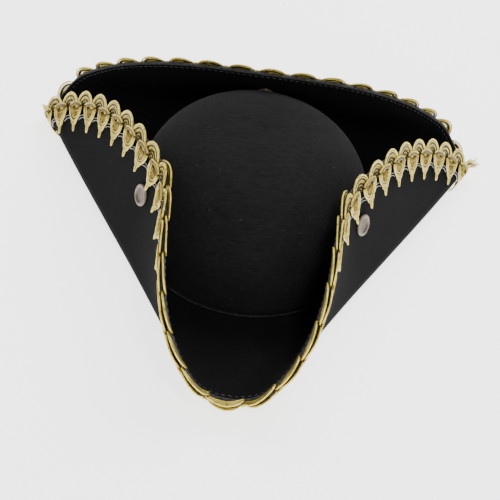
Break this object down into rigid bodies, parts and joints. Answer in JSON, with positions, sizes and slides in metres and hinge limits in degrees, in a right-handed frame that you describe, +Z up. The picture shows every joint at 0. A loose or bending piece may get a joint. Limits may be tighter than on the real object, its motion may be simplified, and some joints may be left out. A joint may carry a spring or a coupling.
{
  "type": "tricorn hat",
  "caption": "Three-cornered felt pirate hat with a domed crown, gold gimp braid along the brim and three flaps that snap to the crown and fold open.",
  "frame": {"origin": "centre of the head opening on the plane that the brim rests on; front corner towards -Y; left and right in the names are as seen from the front", "axes": "+Z up through the crown, +X to the wearer's left, -Y to the front corner"},
  "size_m": [0.3566, 0.3076, 0.1024],
  "materials": {
    "felt": "brushed black felt",
    "gold_braid": "metallic gold gimp braid",
    "silver_thread": "metallic silver thread",
    "snap_brass": "antique nickel-brass, brushed",
    "lining": "thin black non-woven",
    "sweatband": "black grosgrain"
  },
  "bodies": {
    "root": {"crown_shell": "felt", "crown_lining": "lining", "crown_welt": "felt", "sweatband": "sweatband", "brim_base": "felt", "braid_front": "gold_braid", "braid_left_corner": "gold_braid", "braid_right_corner": "gold_braid", "left_stud": "snap_brass", "right_stud": "snap_brass", "back_stud": "snap_brass", "left_post": "snap_brass", "right_post": "snap_brass", "back_post": "snap_brass"},
    "left_flap": {"left_flap": "felt", "braid_left": "gold_braid", "left_cap": "snap_brass", "left_socket": "snap_brass"},
    "right_flap": {"right_flap": "felt", "braid_right": "gold_braid", "right_cap": "snap_brass", "right_socket": "snap_brass"},
    "back_flap": {"back_flap": "felt", "braid_back": "gold_braid", "back_cap": "snap_brass", "back_socket": "snap_brass"}
  },
  "joints": [
    {"name": "left_flap_fold", "type": "hinge", "parent": "root", "child": "left_flap", "pos_m": [-0.08305, -0.04795, 0.0016], "axis": [0.5, -0.866, 0], "range_deg": [0, 35]},
    {"name": "right_flap_fold", "type": "hinge", "parent": "root", "child": "right_flap", "pos_m": [0.08305, -0.04795, 0.0016], "axis": [0.5, 0.866, 0], "range_deg": [0, 35]},
    {"name": "back_flap_fold", "type": "hinge", "parent": "root", "child": "back_flap", "pos_m": [0, 0.0989, 0.0015], "axis": [-1, 0, 0], "range_deg": [0, 35]}
  ]
}
